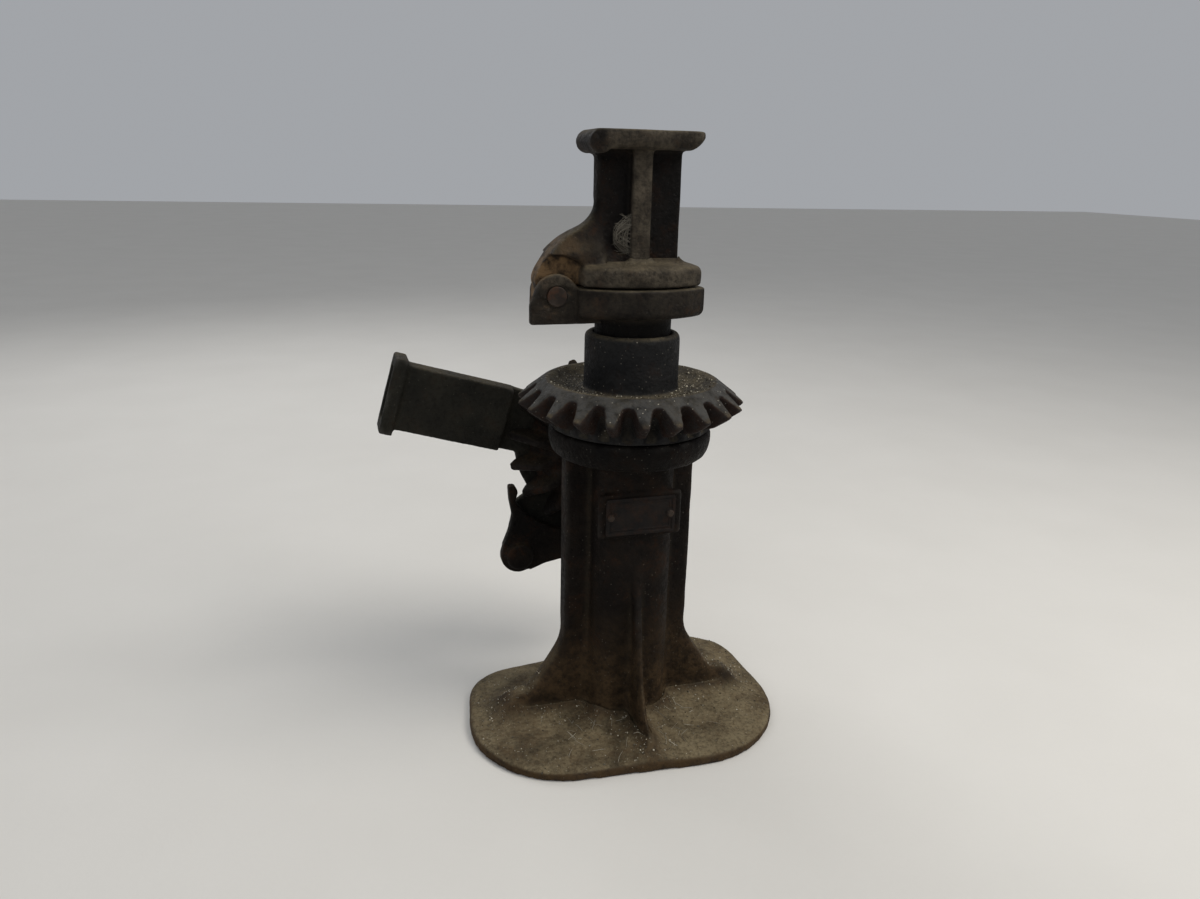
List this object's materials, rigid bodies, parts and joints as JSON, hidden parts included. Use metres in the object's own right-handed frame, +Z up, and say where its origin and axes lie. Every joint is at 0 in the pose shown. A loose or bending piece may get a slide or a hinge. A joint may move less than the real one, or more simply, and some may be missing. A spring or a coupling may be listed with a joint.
{
  "type": "ratchet screw jack",
  "caption": "Cast-iron screw jack with bevel gears, a ratchet lever socket and a fold-over extension head on a rounded base.",
  "frame": {"origin": "on the base's underside, on the lift axis", "axes": "+Z up along the lift screw, -Y towards the name-plate side, -X towards the lever socket and the head's hinge"},
  "size_m": [0.2, 0.1516, 0.2967],
  "materials": {
    "gear_iron": "worn grey cast iron with dusty top",
    "head_iron": "dark brown cast iron with rust",
    "lever_iron": "dark olive-grey cast iron",
    "pin_steel": "rusted steel",
    "plate_steel": "blank tin plate with rust",
    "race_steel": "hardened steel, greased",
    "screw_steel": "oiled dark steel",
    "stand_iron": "old dark cast iron, brown dust and rust"
  },
  "bodies": {
    "stand": {"stand": "stand_iron", "name_plate": "plate_steel", "plate_rivets": "pin_steel", "lower_race": "race_steel", "pinion_stud": "screw_steel", "thrust_washer": "pin_steel", "stud_washer": "pin_steel", "stud_nut": "pin_steel", "stud_cotter": "pin_steel"},
    "crown": {"crown_gear": "gear_iron", "upper_race": "race_steel"},
    "ball_set": {"bearing_balls": "race_steel"},
    "lift": {"lift_screw": "screw_steel", "guide_washer": "screw_steel", "guide_bolt": "screw_steel", "saddle": "head_iron", "saddle_pin": "pin_steel", "hinge_pin": "pin_steel"},
    "head": {"extension_head": "head_iron"},
    "wheel": {"bevel_pinion": "gear_iron"},
    "lever": {"lever_socket": "lever_iron", "pawl_pin": "pin_steel", "detent_plunger": "pin_steel", "detent_spring": "pin_steel"},
    "pawl": {"pawl": "lever_iron"}
  },
  "joints": [
    {"name": "crown_spin", "type": "hinge", "parent": "stand", "child": "crown", "pos_m": [0, 0, 0.165], "axis": [0, 0, -1], "range_deg": [0, 5400]},
    {"name": "ball_roll", "type": "hinge", "parent": "stand", "child": "ball_set", "pos_m": [0, 0, 0.1567], "axis": [0, 0, -1], "range_deg": [0, 2700]},
    {"name": "screw_lift", "type": "slide", "parent": "stand", "child": "lift", "axis": [0, 0, 1], "range_m": [0, 0.12]},
    {"name": "wheel_spin", "type": "hinge", "parent": "stand", "child": "wheel", "pos_m": [0, 0.05, 0.13309], "axis": [0, 1, 0], "range_deg": [0, 6988.3]},
    {"name": "head_fold", "type": "hinge", "parent": "lift", "child": "head", "pos_m": [-0.0398, 0, 0.2245], "axis": [0, -1, 0], "range_deg": [0, 120]},
    {"name": "lever_swing", "type": "hinge", "parent": "stand", "child": "lever", "pos_m": [0, 0.068, 0.13309], "axis": [0, 1, 0], "range_deg": [-42.35, 42.35]},
    {"name": "pawl_tilt", "type": "hinge", "parent": "lever", "child": "pawl", "pos_m": [-0.0036, 0.055, 0.0741], "axis": [0, 1, 0], "range_deg": [-6.3, 6.3]}
  ],
  "couplings": [
    {"joint": "ball_roll", "follows": "crown_spin", "ratio": 0.5},
    {"joint": "screw_lift", "follows": "crown_spin", "m_per_rad": 0.0012732},
    {"joint": "wheel_spin", "follows": "crown_spin", "ratio": 1.2941}
  ]
}
